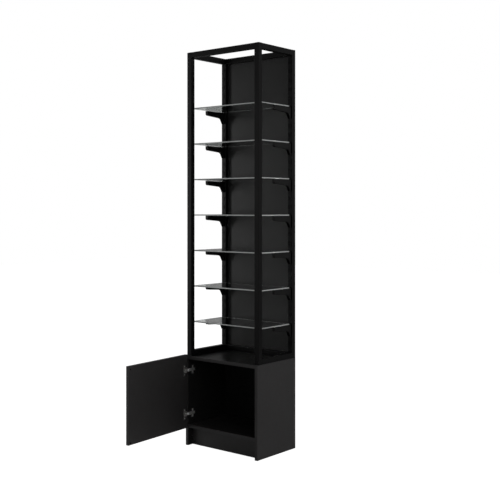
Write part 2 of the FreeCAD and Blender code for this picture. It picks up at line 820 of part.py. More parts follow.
def hinges():
    for name, level in hinge_levels():
        hinge_on_cabinet(name, level)
    screws = [screw("plate_screw", ("small_head", "small_head_tall"),
                    ("plate_screw_shank", "plate_screw_long"),
                    ("arm_x", "plate_y", level + sign + " plate_screw_gap / 2"), "-x")
              for _, level in hinge_levels() for sign in (" -", " +")]
    keep(group("plate_screws", screws))


# ---------------------------------------------------------------- build, check and write
cabinet()
steel_frame()
display_back()
frame_bolts()
shelves()
hinges()
door()
doc.recompute()

for item in doc.Objects:
    if "Invalid" in item.State or "Error" in item.State:
        raise RuntimeError("%s (%s) failed: %s" % (item.Name, item.Label, item.State))
for item in subparts:
    if item.Shape.isNull() or not item.Shape.isValid():
        raise RuntimeError("%s has no valid shape" % item.Label)

os.makedirs("parts", exist_ok=True)
for item in subparts:
    item.Shape.exportStep(os.path.join("parts", item.Label + ".step"))
print("wrote", len(subparts), "files")
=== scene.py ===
import math
import bmesh
import bpy
from mathutils import Matrix, Vector


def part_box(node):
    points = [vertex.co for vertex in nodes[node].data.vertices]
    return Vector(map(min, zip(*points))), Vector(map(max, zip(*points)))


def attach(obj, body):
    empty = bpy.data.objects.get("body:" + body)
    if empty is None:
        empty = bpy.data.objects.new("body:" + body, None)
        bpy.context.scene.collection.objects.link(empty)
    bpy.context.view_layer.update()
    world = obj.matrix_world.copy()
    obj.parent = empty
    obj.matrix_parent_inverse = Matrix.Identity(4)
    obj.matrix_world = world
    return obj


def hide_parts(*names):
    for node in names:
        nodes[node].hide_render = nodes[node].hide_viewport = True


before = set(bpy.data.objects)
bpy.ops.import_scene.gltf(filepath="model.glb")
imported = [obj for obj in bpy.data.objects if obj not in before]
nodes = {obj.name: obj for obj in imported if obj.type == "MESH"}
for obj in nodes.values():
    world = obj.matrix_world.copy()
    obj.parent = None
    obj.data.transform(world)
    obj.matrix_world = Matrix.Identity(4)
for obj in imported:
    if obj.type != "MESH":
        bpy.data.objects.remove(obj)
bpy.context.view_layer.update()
print("frame loaded:", len(nodes), "nodes")


# everything is in metres, in the frame's own axes: +X right, +Y back, +Z up
def newGroup(name, inputs, outputs):
    group = bpy.data.node_groups.new(name, "ShaderNodeTree")
    for label, value in inputs:
        socket = group.interface.new_socket(name=label, in_out="INPUT",
                                            socket_type="NodeSocketFloat")
        socket.default_value = value
    for label in outputs:
        group.interface.new_socket(name=label, in_out="OUTPUT", socket_type="NodeSocketFloat")
    return group, group.nodes.new("NodeGroupInput"), group.nodes.new("NodeGroupOutput")


def feed(tree, socket, value):
    # a socket gets a link, a colour or a plain number
    if isinstance(value, bpy.types.NodeSocket):
        tree.links.new(value, socket)
    elif isinstance(value, tuple) and socket.type == "RGBA":
        socket.default_value = (*value, 1)
    else:
        socket.default_value = value


def addNode(tree, kind, settings=None, **inputs):
    node = tree.nodes.new(kind)
    for key, value in (settings or {}).items():
        setattr(node, key, value)
    for label, value in inputs.items():
        feed(tree, node.inputs[label.replace("_", " ")], value)
    return node


def mathNode(tree, operation, first, second, clamp=False):
    node = addNode(tree, "ShaderNodeMath", {"operation": operation, "use_clamp": clamp})
    feed(tree, node.inputs[0], first)
    feed(tree, node.inputs[1], second)
    return node.outputs[0]


def rangeNode(tree, value, fromLow, fromHigh, toLow, toHigh):
    node = addNode(tree, "ShaderNodeMapRange", Value=value, From_Min=fromLow, From_Max=fromHigh,
                   To_Min=toLow, To_Max=toHigh)
    return node.outputs["Result"]


def objectPlace(tree, scale=(1, 1, 1)):
    place = tree.nodes.new("ShaderNodeTexCoord")
    mapping = addNode(tree, "ShaderNodeMapping", Vector=place.outputs["Object"], Scale=scale)
    return mapping.outputs["Vector"]


def mixColour(tree, factor, first, second):
    node = addNode(tree, "ShaderNodeMix", {"data_type": "RGBA"}, Factor=factor)
    colours = {socket.name: socket for socket in node.inputs if socket.type == "RGBA"}
    feed(tree, colours["A"], first)
    feed(tree, colours["B"], second)
    return next(socket for socket in node.outputs if socket.type == "RGBA")


driftSpan = (0.3, 0.7)  # where most of a slow noise lies
wear = {
    "dustFaces": (0.7, 1.0), "dustScale": 260.0, "dustSpan": (0.45, 0.75), "dustBetween": 0.15,
    "rubScale": 45.0, "rubSpan": (0.35, 0.7), "rubBetween": 0.2,
}


def makeGrainGroup():
    # fine texture of a coat or a moulded face, and a slow drift of its tone
    group, entry, leave = newGroup("surfaceGrain", [("Grain Size", 0.001), ("Drift Size", 0.15)],
                                   ["Grain", "Pits", "Drift"])
    place = objectPlace(group)
    grainScale = mathNode(group, "DIVIDE", 1.0, entry.outputs["Grain Size"])
    driftScale = mathNode(group, "DIVIDE", 1.0, entry.outputs["Drift Size"])
    fine = addNode(group, "ShaderNodeTexNoise", Vector=place, Scale=grainScale,
                   Detail=2.0, Roughness=0.55)
    pits = addNode(group, "ShaderNodeTexVoronoi", {"feature": "SMOOTH_F1"}, Vector=place,
                   Scale=grainScale, Smoothness=0.6)
    drift = addNode(group, "ShaderNodeTexNoise", Vector=place, Scale=driftScale,
                    Detail=4.0, Roughness=0.6)
    group.links.new(fine.outputs["Fac"], leave.inputs["Grain"])
    group.links.new(pits.outputs["Distance"], leave.inputs["Pits"])
    group.links.new(drift.outputs["Fac"], leave.inputs["Drift"])
    return group


def makeDustGroup():
    # a thin film of dust on faces that look up
    group, entry, leave = newGroup("restingDust", [("Amount", 0.1)], ["Dust"])
    facing = group.nodes.new("ShaderNodeNewGeometry")
    parts = addNode(group, "ShaderNodeSeparateXYZ", Vector=facing.outputs["Normal"])
    upward = rangeNode(group, parts.outputs["Z"], *wear["dustFaces"], 0.0, 1.0)
    specks = addNode(group, "ShaderNodeTexNoise", Vector=objectPlace(group),
                     Scale=wear["dustScale"], Detail=6.0, Roughness=0.8)
    scattered = rangeNode(group, specks.outputs["Fac"], *wear["dustSpan"],
                          wear["dustBetween"], 1.0)
    dust = mathNode(group, "MULTIPLY", mathNode(group, "MULTIPLY", upward, scattered),
                    entry.outputs["Amount"], clamp=True)
    group.links.new(dust, leave.inputs["Dust"])
    return group


def makeEdgeGroup():
    # rubbed edges: eased faces carry the attribute, and a noise breaks it up
    group, entry, leave = newGroup("rubbedEdge", [("Amount", 0.3)], ["Rub"])
    eased = addNode(group, "ShaderNodeAttribute", {"attribute_name": "eased"})
    broken = addNode(group, "ShaderNodeTexNoise", Vector=objectPlace(group),
                     Scale=wear["rubScale"], Detail=5.0, Roughness=0.7)
    patches = rangeNode(group, broken.outputs["Fac"], *wear["rubSpan"], wear["rubBetween"], 1.0)
    rub = mathNode(group, "MULTIPLY", mathNode(group, "MULTIPLY", eased.outputs["Fac"], patches),
                   entry.outputs["Amount"], clamp=True)
    group.links.new(rub, leave.inputs["Rub"])
    return group


grainGroup, dustGroup, edgeGroup = makeGrainGroup(), makeDustGroup(), makeEdgeGroup()


def useGroup(tree, group, **inputs):
    return addNode(tree, "ShaderNodeGroup", {"node_tree": group}, **inputs)


def blankMaterial(name):
    material = bpy.data.materials.new(name)
    material.use_nodes = True
    return material, material.node_tree, material.node_tree.nodes["Principled BSDF"]


def coatedMaterial(name, look):
    # an opaque finish: tone drift, grain, rubbed edges and a little dust
    material, tree, shader = blankMaterial(name)
    grain = useGroup(tree, grainGroup, Grain_Size=look["grainSize"], Drift_Size=look["driftSize"])
    dust = useGroup(tree, dustGroup, Amount=look["dust"])
    edge = useGroup(tree, edgeGroup, Amount=look["rub"])
    drift = rangeNode(tree, grain.outputs["Drift"], *driftSpan, 0.0, 1.0)
    colour = mixColour(tree, drift, look["dark"], look["light"])
    speck = rangeNode(tree, grain.outputs["Grain"], *look["speckSpan"], 0.0, look["speck"])
    colour = mixColour(tree, speck, colour, look["speckTone"])
    colour = mixColour(tree, edge.outputs["Rub"], colour, look["edgeTone"])
    colour = mixColour(tree, dust.outputs["Dust"], colour, look["dustTone"])
    tree.links.new(colour, shader.inputs["Base Color"])
    rough = rangeNode(tree, grain.outputs["Drift"], *driftSpan, *look["roughness"])
    smoothed = mathNode(tree, "MULTIPLY", edge.outputs["Rub"], look["rubSmooths"])
    tree.links.new(mathNode(tree, "SUBTRACT", rough, smoothed), shader.inputs["Roughness"])
    grainHeight = mathNode(tree, "MULTIPLY", grain.outputs["Grain"], look["grainTall"])
    pitHeight = mathNode(tree, "MULTIPLY", grain.outputs["Pits"], look["pitDeep"])
    height = mathNode(tree, "ADD", grainHeight, pitHeight)
    bump = addNode(tree, "ShaderNodeBump", Strength=look["bump"], Distance=look["grainSize"] / 4,
                   Height=height)
    tree.links.new(bump.outputs["Normal"], shader.inputs["Normal"])
    shader.inputs["Specular IOR Level"].default_value = look["specular"]
    return material


# what a coat has unless its own entry says otherwise; sizes in metres
commonCoat = {
    "speckTone": (0.008, 0.008, 0.008), "edgeTone": (0.020, 0.020, 0.020),
    "dustTone": (0.05, 0.05, 0.048), "speck": 0.5, "speckSpan": (0.62, 0.8), "rub": 0.4,
    "rubSmooths": 0.2, "dust": 0.02, "grainSize": 0.0011, "driftSize": 0.16, "grainTall": 0.5,
    "pitDeep": 0.7, "bump": 0.30, "specular": 0.3,
}
coatLooks = {
    "boardBlack": {
        "dark": (0.0275, 0.0250, 0.0255), "light": (0.0310, 0.0284, 0.0290),
        "speckTone": (0.034, 0.032, 0.032), "edgeTone": (0.040, 0.040, 0.040),
        "rub": 0.5, "dust": 0.03, "roughness": (0.36, 0.44), "specular": 0.9,
    },
    # painted shade: a much darker copy of boardBlack for the cupboard's inner faces
    "insideBlackPaintedShade": {
        "dark": (0.0060, 0.0058, 0.0058), "light": (0.0075, 0.0072, 0.0072),
        "speckTone": (0.014, 0.014, 0.014), "roughness": (0.50, 0.58),
    },
    # painted shade: a copy of boardBlack about ten times darker and less shiny for the cupboard's
    # top, which dims its reflections
    "topBlackPaintedShade": {
        "dark": (0.0030, 0.0030, 0.0031), "light": (0.0040, 0.0040, 0.0041),
        "speckTone": (0.012, 0.012, 0.012), "rub": 0.5, "dust": 0.03,
        "roughness": (0.38, 0.46), "bump": 0.25, "specular": 0.25,
    },
    "panelBlack": {
        "dark": (0.0165, 0.0165, 0.0165), "light": (0.0205, 0.0204, 0.0206),
        "speckTone": (0.022, 0.022, 0.022), "speck": 0.4, "rub": 0.3, "grainSize": 0.0009,
        "driftSize": 0.22, "roughness": (0.42, 0.50), "bump": 0.25, "specular": 0.35,
    },
    "powderBlack": {
        "dark": (0.0012, 0.0012, 0.0013), "light": (0.0020, 0.0020, 0.0021),
        "edgeTone": (0.014, 0.014, 0.014), "speck": 0.6, "grainSize": 0.0006,
        "driftSize": 0.10, "roughness": (0.36, 0.44), "bump": 0.45, "specular": 0.22,
    },
    "bracketBlack": {
        "dark": (0.0020, 0.0020, 0.0021), "light": (0.0030, 0.0030, 0.0031),
        "edgeTone": (0.016, 0.016, 0.016), "rub": 0.6, "grainSize": 0.0005,
        "driftSize": 0.05, "roughness": (0.32, 0.40), "bump": 0.4,
    },
    "plasticBlack": {
        "dark": (0.0050, 0.0050, 0.0051), "light": (0.0070, 0.0070, 0.0071),
        "speckTone": (0.010, 0.010, 0.010), "edgeTone": (0.014, 0.014, 0.014),
        "dustTone": (0.06, 0.06, 0.058), "speck": 0.3, "rub": 0.3, "dust": 0.05,
        "grainSize": 0.0004, "driftSize": 0.02, "roughness": (0.5, 0.6), "specular": 0.4,
    },
    "feltBlack": {
        "dark": (0.010, 0.010, 0.010), "light": (0.020, 0.020, 0.021),
        "speckTone": (0.04, 0.04, 0.04), "dustTone": (0.1, 0.1, 0.1), "speck": 0.7, "rub": 0.0,
        "dust": 0.1, "grainSize": 0.0003, "driftSize": 0.004, "roughness": (0.9, 1.0),
        "bump": 0.9, "specular": 0.1,
    },
    "beechDowel": {
        "dark": (0.42, 0.26, 0.13), "light": (0.58, 0.40, 0.22),
        "speckTone": (0.30, 0.17, 0.08), "edgeTone": (0.5, 0.34, 0.18),
        "dustTone": (0.5, 0.45, 0.4), "rub": 0.2, "dust": 0.0, "grainSize": 0.0005,
        "driftSize": 0.004, "roughness": (0.6, 0.7), "bump": 0.4, "specular": 0.5,
    },
}
finishes = {name: coatedMaterial(name, {**commonCoat, **look})
            for name, look in coatLooks.items()}


commonMetal = {"driftSize": 0.012, "rub": 0.7, "drawn": (1, 1, 9), "lineDepth": 0.0002,
               "metallic": 1.0}
metalLooks = {
    "nickelPlate": {"bright": (0.90, 0.89, 0.87), "dull": (0.76, 0.75, 0.74),
                    "edgeTone": (0.95, 0.95, 0.94), "roughness": (0.46, 0.60),
                    "lineSize": 0.0012, "bump": 0.12},
    # painted shade: dark steel for the hinge cups sunk into the door, far darker than the plating
    "pressedSteelPaintedShade": {"bright": (0.34, 0.33, 0.32), "dull": (0.22, 0.22, 0.21),
                     "edgeTone": (0.75, 0.75, 0.74), "roughness": (0.34, 0.48),
                     "lineSize": 0.0016, "bump": 0.18},
    "castZinc": {"bright": (0.48, 0.48, 0.49), "dull": (0.36, 0.36, 0.37),
                 "edgeTone": (0.70, 0.70, 0.71), "roughness": (0.40, 0.55),
                 "lineSize": 0.0007, "bump": 0.35},
    # painted highlight: a near-white, barely metallic copy of the plating that makes the hinge
    # link bright
    "satinZincPaintedHighlight": {"bright": (0.92, 0.92, 0.91), "dull": (0.82, 0.82, 0.81),
                  "edgeTone": (0.95, 0.95, 0.95), "roughness": (0.30, 0.38),
                  "lineSize": 0.0010, "bump": 0.12, "metallic": 0.10},
}


def platedMaterial(name, look):
    # bare or plated metal with fine drawing lines and handled edges
    material, tree, shader = blankMaterial(name)
    grain = useGroup(tree, grainGroup, Grain_Size=look["lineSize"], Drift_Size=look["driftSize"])
    edge = useGroup(tree, edgeGroup, Amount=look["rub"])
    lines = addNode(tree, "ShaderNodeTexNoise", Vector=objectPlace(tree, look["drawn"]),
                    Scale=1 / look["lineSize"], Detail=3.0, Roughness=0.7)
    colour = mixColour(tree, grain.outputs["Drift"], look["bright"], look["dull"])
    colour = mixColour(tree, edge.outputs["Rub"], colour, look["edgeTone"])
    tree.links.new(colour, shader.inputs["Base Color"])
    rough = rangeNode(tree, lines.outputs["Fac"], *driftSpan, *look["roughness"])
    tree.links.new(rough, shader.inputs["Roughness"])
    bump = addNode(tree, "ShaderNodeBump", Strength=look["bump"], Distance=look["lineDepth"],
                   Height=lines.outputs["Fac"])
    tree.links.new(bump.outputs["Normal"], shader.inputs["Normal"])
    shader.inputs["Metallic"].default_value = look["metallic"]
    return material


# shadow is the share of light that still passes where the piece shades another
commonGlass = {"driftSize": 0.2, "bumpDeep": 0.0001, "ior": 1.45}
glassLooks = {
    "floatGlass": {"tint": (0.64, 0.66, 0.65), "tintToo": (0.61, 0.63, 0.62),
                   "roughness": (0.0, 0.012), "grainSize": 0.004, "bump": 0.0,
                   "transmission": 1.0, "shadow": 0.62},
    "glassEdge": {"tint": (0.86, 0.89, 0.88), "tintToo": (0.78, 0.80, 0.79),
                  "roughness": (0.05, 0.12), "grainSize": 0.0006, "bump": 0.1,
                  "transmission": 0.35, "shadow": 0.5},
    "clearVinyl": {"tint": (0.60, 0.62, 0.62), "tintToo": (0.52, 0.55, 0.55),
                   "roughness": (0.15, 0.3), "grainSize": 0.0008, "bump": 0.2,
                   "transmission": 0.8, "shadow": 0.7},
}


def glassMaterial(name, look):
    # clear glass, its ground edge, or a clear pad; shadow rays pass straight through, dimmed
    material, tree, shader = blankMaterial(name)
    grain = useGroup(tree, grainGroup, Grain_Size=look["grainSize"], Drift_Size=look["driftSize"])
    colour = mixColour(tree, grain.outputs["Drift"], look["tint"], look["tintToo"])
    tree.links.new(colour, shader.inputs["Base Color"])
    rough = rangeNode(tree, grain.outputs["Drift"], *driftSpan, *look["roughness"])
    tree.links.new(rough, shader.inputs["Roughness"])
    if look["bump"]:
        bump = addNode(tree, "ShaderNodeBump", Strength=look["bump"],
                       Distance=look["bumpDeep"], Height=grain.outputs["Grain"])
        tree.links.new(bump.outputs["Normal"], shader.inputs["Normal"])
    shader.inputs["Transmission Weight"].default_value = look["transmission"]
    shader.inputs["IOR"].default_value = look["ior"]
    clear = addNode(tree, "ShaderNodeBsdfTransparent", Color=(look["shadow"],) * 3)
    rays = tree.nodes.new("ShaderNodeLightPath")
    mixed = addNode(tree, "ShaderNodeMixShader", Fac=rays.outputs["Is Shadow Ray"])
    tree.links.new(shader.outputs["BSDF"], mixed.inputs[1])
    tree.links.new(clear.outputs["BSDF"], mixed.inputs[2])
    tree.links.new(mixed.outputs["Shader"], tree.nodes["Material Output"].inputs["Surface"])
    return material


finishes.update({name: platedMaterial(name, {**commonMetal, **look})
                 for name, look in metalLooks.items()})
finishes.update({name: glassMaterial(name, {**commonGlass, **look})
                 for name, look in glassLooks.items()})
print("finishes made:", len(finishes))


meshing = {
    "join": 0.000005, "flatTurn": 0.4,  # corners closer than this, and faces flatter, are joined
    "cornerTurn": 60.0, "sharpTurn": 35.0, "flatWeight": 90, "tiny": 0.000001,
}


def copyOfNode(nodeName):
    # a clean copy of a solid: its loose triangles joined up, and its flat faces made whole
    mesh = bmesh.new()
    mesh.from_mesh(nodes[nodeName].data)
    bmesh.ops.remove_doubles(mesh, verts=mesh.verts[:], dist=meshing["join"])
    bmesh.ops.dissolve_limit(mesh, angle_limit=math.radians(meshing["flatTurn"]),
                             verts=mesh.verts[:], edges=mesh.edges[:])
    return mesh


def cornerEdges(mesh, shortest):
    # outward corners at least shortest long
    return [edge for edge in mesh.edges
            if len(edge.link_faces) == 2 and edge.calc_length() >= shortest and edge.is_convex
            and math.degrees(edge.calc_face_angle(0)) > meshing["cornerTurn"]]


def easeEdges(mesh, edges, width, segments=2):
    # rounds the edges, and marks the new faces for the rubbed finish
    layers = mesh.loops.layers.float_color
    layer = layers.get("eased") or layers.new("eased")
    made = bmesh.ops.bevel(mesh, geom=edges, offset=width, offset_type="OFFSET",
                           segments=segments, profile=0.5, affect="EDGES",
                           clamp_overlap=True, material=-1)
    for face in made["faces"]:
        for loop in face.loops:
            loop[layer] = (1, 1, 1, 1)


def addPiece(nodeName, mesh, finish, body="showcase",
             sharpTurn=meshing["sharpTurn"]):
    # stands for a node: smooth faces and hard corners, then its finish and body
    for face in mesh.faces:
        face.smooth = True
    for edge in mesh.edges:
        if len(edge.link_faces) == 2:
            edge.smooth = math.degrees(edge.calc_face_angle(0)) < sharpTurn
    data = bpy.data.meshes.new(nodeName + "_dressed")
    mesh.to_mesh(data)
    mesh.free()
    data.materials.append(finishes[finish])
    piece = bpy.data.objects.new(nodeName + "_dressed", data)
    bpy.context.scene.collection.objects.link(piece)
    shading = piece.modifiers.new("evenShading", "WEIGHTED_NORMAL")
    shading.keep_sharp = True
    shading.weight = meshing["flatWeight"]
    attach(piece, body)
    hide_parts(nodeName)
    return piece


def secondFinish(piece, finish, chosen):
    # gives the faces that chosen picks another finish
    piece.data.materials.append(finishes[finish])
    for face in piece.data.polygons:
        if chosen(face):
            face.material_index = 1


boards = {
    "aroundCupboard": ("left_side", "right_side", "cabinet_bottom", "plinth",
                       "cabinet_back"),
    "easedBy": 0.0008, "doorEasedBy": 0.001, "shortestEdge": 0.05,
    # faces that look at the cupboard's middle from at least insideFrom away are inner faces,
    # which get a darker copy of the board as painted shade
    "middleY": -0.02, "insideFrom": 0.15, "upward": 0.5, "bandFrom": 0.3,
}


def makeBoard(nodeName, finish, body="showcase", width=boards["easedBy"]):
    mesh = copyOfNode(nodeName)
    easeEdges(mesh, cornerEdges(mesh, boards["shortestEdge"]), width)
    return addPiece(nodeName, mesh, finish, body)


def looksInside(face):
    outward = (face.normal.x * face.center.x
               + face.normal.y * (face.center.y - boards["middleY"]))
    return outward < -boards["insideFrom"] and face.normal.z < boards["upward"]


# painted shade: the inner faces of these boards take a much darker copy of the board
for nodeName in boards["aroundCupboard"]:
    secondFinish(makeBoard(nodeName, "boardBlack"), "insideBlackPaintedShade", looksInside)
# painted shade: the cupboard's top is darker than its boards; only its front edge band keeps
# boardBlack
secondFinish(makeBoard("cabinet_top", "topBlackPaintedShade"), "boardBlack",
             lambda face: face.normal.y < -boards["bandFrom"])  # its front edge band
makeBoard("door_panel", "boardBlack", "door", boards["doorEasedBy"])
makeBoard("back_panel", "panelBlack")
print("boards made")


steelFrame = {
    "tubes": ("front_left_post", "front_right_post", "back_left_post", "back_right_post",
              "top_front_rail", "top_back_rail", "top_left_rail", "top_right_rail",
              "bottom_left_rail", "bottom_right_rail", "bottom_back_rail"),
    "brackets": ["bracket_%s_%d" % (side, count)
                 for count in range(1, 8) for side in ("left", "right")],
}
for nodeName in steelFrame["tubes"]:
    addPiece(nodeName, copyOfNode(nodeName), "powderBlack")
for nodeName in steelFrame["brackets"]:
    addPiece(nodeName, copyOfNode(nodeName), "bracketBlack")
print("steel frame and brackets made")


glass = {"shelves": ["glass_shelf_%d" % count for count in range(1, 8)], "flatFrom": 0.9,
         "sharpTurn": 20.0}
for nodeName in glass["shelves"]:
    piece = addPiece(nodeName, copyOfNode(nodeName), "floatGlass",
                     sharpTurn=glass["sharpTurn"])
    secondFinish(piece, "glassEdge", lambda face: abs(face.normal.z) <= glass["flatFrom"])
print("glass shelves made")


def islandsOf(nodeName):
    # the corners of each separate solid of a node, always in the same order
    mesh = copyOfNode(nodeName)
    seen = set()
    islands = []
    for first in mesh.verts:
        if first in seen:
            continue
        seen.add(first)
        reached = [first]
        for vert in reached:
            for edge in vert.link_edges:
                other = edge.other_vert(vert)
                if other not in seen:
                    seen.add(other)
                    reached.append(other)
        islands.append([vert.co.copy() for vert in reached])
    mesh.free()
    return sorted(islands, key=lambda points: [
        round(min(point[axis] for point in points), 4) for axis in range(3)])


def turned(profile, steps=24):
    # a turned part from its (radius, height) outline
    mesh = bmesh.new()
    corners = [mesh.verts.new((radius, 0, height)) for radius, height in profile]
    line = [mesh.edges.new(pair) for pair in zip(corners, corners[1:])]
    bmesh.ops.spin(mesh, geom=corners + line, cent=(0, 0, 0), axis=(0, 0, 1), dvec=(0, 0, 0),
                   angle=math.tau, steps=steps, use_merge=True)
    bmesh.ops.remove_doubles(mesh, verts=mesh.verts[:], dist=meshing["tiny"])
    bmesh.ops.recalc_face_normals(mesh, faces=mesh.faces[:])
    return mesh


recess = {"crossArm": 0.55, "hexSides": 6, "taper": 0.7}


def pressedOutline(mesh, kind, size):
    # a flat cross or hexagon at the origin, added to the mesh
    before = set(mesh.faces)
    if kind == "hex":
        bmesh.ops.create_circle(mesh, cap_ends=True, radius=size, segments=recess["hexSides"])
        return [face for face in mesh.faces if face not in before]
    grid = bmesh.ops.create_grid(mesh, x_segments=3, y_segments=3, size=size)["verts"]
    corners = [face for face in mesh.faces if face not in before
               and min(abs(place) for place in face.calc_center_median().xy) > size / 2]
    for vert in grid:  # slimmer arms
        for axis in (0, 1):
            if abs(vert.co[axis]) < size / 2:
                vert.co[axis] *= recess["crossArm"]
    bmesh.ops.delete(mesh, geom=corners, context="FACES")
    return [face for face in mesh.faces if face not in before]


def sinkRecess(mesh, kind, size, depth):
    # a cross or a hexagon pressed into the flat top of a turned part
    height = max(vert.co.z for vert in mesh.verts)
    middle = [vert for vert in mesh.verts
              if vert.co.z > height - meshing["tiny"] and vert.co.xy.length < meshing["tiny"]]
    bmesh.ops.delete(mesh, geom=middle, context="VERTS")
    rim = [edge for edge in mesh.edges if edge.is_boundary]
    floor = pressedOutline(mesh, kind, size)
    corners = list(dict.fromkeys(vert for face in floor for vert in face.verts))
    bmesh.ops.translate(mesh, verts=corners, vec=(0, 0, height))
    lip = [edge for edge in mesh.edges if edge.is_boundary and edge not in rim]
    bmesh.ops.bridge_loops(mesh, edges=rim + lip)
    sunk = bmesh.ops.extrude_face_region(mesh, geom=floor)
    moved = [item for item in sunk["geom"] if isinstance(item, bmesh.types.BMVert)]
    bmesh.ops.scale(mesh, verts=moved, vec=(recess["taper"], recess["taper"], 1))
    bmesh.ops.translate(mesh, verts=moved, vec=(0, 0, -depth))
    bmesh.ops.recalc_face_normals(mesh, faces=mesh.faces[:])
    return mesh


def templateOf(mesh):
    template = bpy.data.meshes.new("template")
    mesh.to_mesh(template)
    mesh.free()
    return template


def placeAt(total, template, middle, axis, twist):
    # adds a copy of a turned part, its top towards axis and centred on middle
    before = set(total.verts)
    total.from_mesh(template)
    fresh = [vert for vert in total.verts if vert not in before]
    lean = Vector((0, 0, 1)).rotation_difference(axis).to_matrix()
    bmesh.ops.rotate(total, verts=fresh, cent=(0, 0, 0),
                     matrix=lean @ Matrix.Rotation(twist, 3, "Z"))
    bmesh.ops.translate(total, verts=fresh, vec=middle)


fittings = {"twist": 0.9, "sharpTurn": 30.0}  # each next fitting is turned on by the twist


def makeFittings(nodeName, mesh, finish, towards, body="showcase"):
    # one nicer fitting for each solid of a group, its top where the solid's outer face is
    template = templateOf(mesh)
    total = bmesh.new()
    for count, points in enumerate(islandsOf(nodeName)):
        axis = towards(points) if callable(towards) else Vector(towards)
        across = axis.orthogonal().normalized()
        middle = axis * max(point.dot(axis) for point in points)
        for side in (across, axis.cross(across)):
            spots = [point.dot(side) for point in points]
            middle += side * (min(spots) + max(spots)) / 2
        placeAt(total, template, middle, axis, fittings["twist"] * count)
    bpy.data.meshes.remove(template)
    addPiece(nodeName, total, finish, body, fittings["sharpTurn"])


def doorFacing():
    # the way the door's inner face looks
    mesh = copyOfNode("door_panel")
    inner = [face for face in mesh.faces if face.normal.x > 0]
    normal = max(inner, key=lambda face: face.calc_area()).normal.copy()
    mesh.free()
    return normal


def outwardX(points):
    return Vector((1, 0, 0)) if points[0].x > 0 else Vector((-1, 0, 0))


ridge = ((0.15, 0), (0.5, 1), (0.85, 0))  # share of the pitch, share of the depth


def threadLine(radius, start, end, pitch, depth):
    # an outline of thread ridges between two heights
    count = max(1, round(abs(start - end) / pitch))
    step = (end - start) / count
    return [(radius - depth * (1 - proud), start + step * (turn + along))
            for turn in range(count) for along, proud in ridge]


smallScrew = {
    "head": 0.0035, "headTall": 0.0018, "flat": 0.62,
    "shoulder": ((0.84, 0.18), (0.97, 0.5), (1, 0.8), (1, 1)),  # shares of radius and height
    "shank": 0.00175, "long": 0.008, "plain": 0.001, "pitch": 0.0013, "depth": 0.0004,
    "point": 0.002, "tip": 0.3, "drive": "cross", "driveSize": 0.0017, "driveDeep": 0.0011,
}
cupScrew = {**smallScrew, "long": 0.013}
plateScrew = {**smallScrew, "shank": 0.0025, "long": 0.012, "pitch": 0.0016}
frameBolt = {
    **smallScrew, "head": 0.0045, "headTall": 0.003, "flat": 0.7, "shank": 0.0025,
    "long": 0.027, "plain": 0.012, "pitch": 0.0009, "depth": 0.0003, "point": 0.0006,
    "tip": 0.85, "drive": "hex", "driveSize": 0.0019, "driveDeep": 0.0018,
}


def screwShape(look):
    # head with a rounded shoulder, threaded shank, and a point or a flat end
    head, tall, shank, depth = look["head"], look["headTall"], look["shank"], look["depth"]
    end = -tall - look["long"]
    profile = [(0, 0), (head * look["flat"], 0)]
    profile += [(head * out, -tall * down) for out, down in look["shoulder"]]
    profile += [(shank, -tall)]
    profile += threadLine(shank, -tall - look["plain"], end + look["point"], look["pitch"], depth)
    profile += [(shank - depth, end + look["point"]), (shank * look["tip"], end), (0, end)]
    return sinkRecess(turned(profile), look["drive"], look["driveSize"], look["driveDeep"])


camLock = {"radius": 0.0075, "tall": 0.0125, "topEase": 0.0006, "rim": 0.0030, "slope": 0.0006,
           "waist": 0.0066, "foot": 0.0030, "footEase": 0.0008, "drive": 0.0042, "deep": 0.003,
           "steps": 32}


def camShape():
    # a drum with a narrow waist and a cross in its face
    radius, tall, waist = camLock["radius"], camLock["tall"], camLock["waist"]
    rim, foot, slope = camLock["rim"], camLock["foot"], camLock["slope"]
    topEase, footEase = camLock["topEase"], camLock["footEase"]
    mesh = turned([(0, 0), (radius - topEase, 0), (radius, -topEase), (radius, -rim),
                   (waist, -rim - slope), (waist, foot + slope - tall), (radius, foot - tall),
                   (radius, footEase - tall), (radius - footEase, -tall), (0, -tall)],
                  camLock["steps"])
    return sinkRecess(mesh, "cross", camLock["drive"], camLock["deep"])


camBolt = {"radius": 0.003, "long": 0.0275, "neck": 0.0018, "point": 0.0006,
           "threadEnd": 0.0105, "pitch": 0.0018, "depth": 0.0007, "collar": 0.0108,
           "collarEnd": 0.0122, "bevel": 0.0002, "rod": 0.8, "rodEnd": 0.0062, "slope": 0.0010,
           "neckEnd": 0.0024, "head": 0.85, "headSlope": 0.0006, "headEase": 0.0004,
           "headFlat": 0.5, "steps": 20}


def camBoltShape():
    # threaded end, collar, rod, and the neck and head that the cam grips
    look = camBolt
    radius, end, neck = look["radius"], -look["long"], look["neck"]
    rod, head, neckEnd = radius * look["rod"], radius * look["head"], end + look["neckEnd"]
    profile = [(0, 0), (neck, -look["point"])]
    profile += threadLine(radius, -look["point"], -look["threadEnd"], look["pitch"],
                          look["depth"])
    profile += [(radius, -look["collar"]), (radius, -look["collarEnd"]),
                (rod, -look["collarEnd"] - look["bevel"]), (rod, end + look["rodEnd"]),
                (neck, end + look["rodEnd"] - look["slope"]), (neck, neckEnd),
                (head, neckEnd - look["headSlope"]), (head, end + look["headEase"]),
                (radius * look["headFlat"], end), (0, end)]
    return turned(profile, look["steps"])


def chamferedRod(radius, long, chamfer, steps):
    return turned([(0, 0), (radius - chamfer, 0), (radius, -chamfer), (radius, -long + chamfer),
                   (radius - chamfer, -long), (0, -long)], steps)


dowel = {"radius": 0.004, "long": 0.030, "flutes": 16, "chamfer": 0.0015, "groove": 0.00025}


